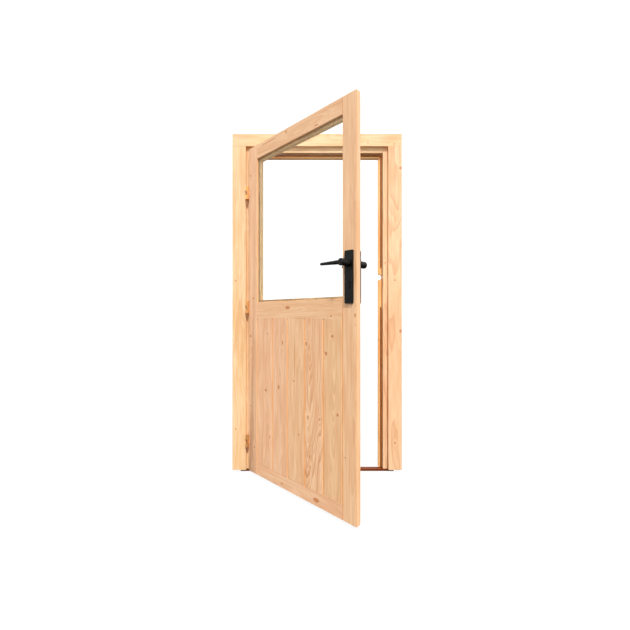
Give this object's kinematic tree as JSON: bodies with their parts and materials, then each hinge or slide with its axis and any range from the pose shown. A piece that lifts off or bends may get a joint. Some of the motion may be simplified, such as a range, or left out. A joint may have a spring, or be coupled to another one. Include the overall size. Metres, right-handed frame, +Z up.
{
  "type": "half-glazed stable door with frame",
  "caption": "Pine stable door leaf with a glazed upper light and a boarded lower panel, hung ajar in its own rebated timber frame with a hardwood sill and black lever handles.",
  "frame": {"origin": "centre of the underside of the sill", "axes": "+X to the lock side, +Y into the building, +Z up"},
  "size_m": [1, 0.6799, 2],
  "materials": {
    "frame_pine": "planed pine with a clear satin oil",
    "leaf_pine": "planed pine with a clear satin oil",
    "stop_pine": "planed pine, a more orange batch",
    "bead_pine": "planed pine",
    "hardwood": "oiled red-brown hardwood",
    "seal_rubber": "caramel brown soft seal",
    "hinge_zinc": "yellow passivated zinc",
    "glass": "clear float glass",
    "tape": "grey-brown glazing tape",
    "black_coat": "fine textured black powder coat",
    "steel": "zinc plated steel"
  },
  "bodies": {
    "frame": {"jamb_hinge_side": "frame_pine", "jamb_lock_side": "frame_pine", "frame_head": "frame_pine", "sill": "hardwood", "stop_hinge_side": "stop_pine", "stop_lock_side": "stop_pine", "stop_head": "stop_pine", "seal_hinge_side": "seal_rubber", "seal_lock_lower": "seal_rubber", "seal_lock_upper": "seal_rubber", "seal_head": "seal_rubber", "strike_plate": "steel", "strike_screws": "steel", "frame_corner_screws": "steel", "sill_screws": "steel", "hinge_lower_frame": "hinge_zinc", "hinge_middle_frame": "hinge_zinc", "hinge_upper_frame": "hinge_zinc", "hinge_pins": "steel", "hinge_screws_frame": "steel"},
    "leaf": {"stile_hinge_side": "leaf_pine", "stile_lock_side": "leaf_pine", "rail_top": "leaf_pine", "rail_middle": "leaf_pine", "rail_bottom": "leaf_pine", "board_1": "leaf_pine", "board_2": "leaf_pine", "board_3": "leaf_pine", "board_4": "leaf_pine", "board_5": "leaf_pine", "glass": "glass", "glazing_tape": "tape", "bead_top": "bead_pine", "bead_bottom": "bead_pine", "bead_hinge_side": "bead_pine", "bead_lock_side": "bead_pine", "bead_pins": "steel", "hinge_lower_leaf": "hinge_zinc", "hinge_middle_leaf": "hinge_zinc", "hinge_upper_leaf": "hinge_zinc", "hinge_screws_leaf": "steel", "lock_case": "steel", "lock_cover": "steel", "lock_forend": "steel", "forend_screws": "steel", "plate_outside": "black_coat", "plate_inside": "black_coat", "plate_screws": "black_coat", "cylinder_body": "black_coat", "cylinder_screw": "steel"},
    "levers": {"lever_outside": "black_coat", "lever_inside": "black_coat", "spindle": "steel", "lock_follower": "steel"},
    "latch": {"latch_bolt": "steel"},
    "deadbolt": {"dead_bolt": "steel"},
    "plug": {"cylinder_plug": "steel"}
  },
  "joints": [
    {"name": "leaf_hinge", "type": "hinge", "parent": "frame", "child": "leaf", "pos_m": [-0.4055, -0.0475, 1], "axis": [0, 0, -1], "range_deg": [-45.5, 104.5]},
    {"name": "lever_turn", "type": "hinge", "parent": "leaf", "child": "levers", "pos_m": [0.15417, -0.57708, 1.158], "axis": [-0.7133, -0.7009, 0], "range_deg": [0, 35], "stiffness_Nm_per_rad": 1.6, "springref_deg": -20.05},
    {"name": "latch_slide", "type": "slide", "parent": "leaf", "child": "latch", "axis": [-0.7009, 0.7133, 0], "range_m": [0, 0.01]},
    {"name": "key_turn", "type": "hinge", "parent": "leaf", "child": "plug", "pos_m": [0.15417, -0.57708, 1.073], "axis": [0.7133, 0.7009, 0], "range_deg": [0, 360]},
    {"name": "bolt_slide", "type": "slide", "parent": "leaf", "child": "deadbolt", "axis": [0.7009, -0.7133, 0], "range_m": [0, 0.02]}
  ],
  "couplings": [
    {"joint": "latch_slide", "follows": "lever_turn", "m_per_rad": 0.01635},
    {"joint": "key_turn", "follows": "bolt_slide", "rad_per_m": 314.16}
  ]
}
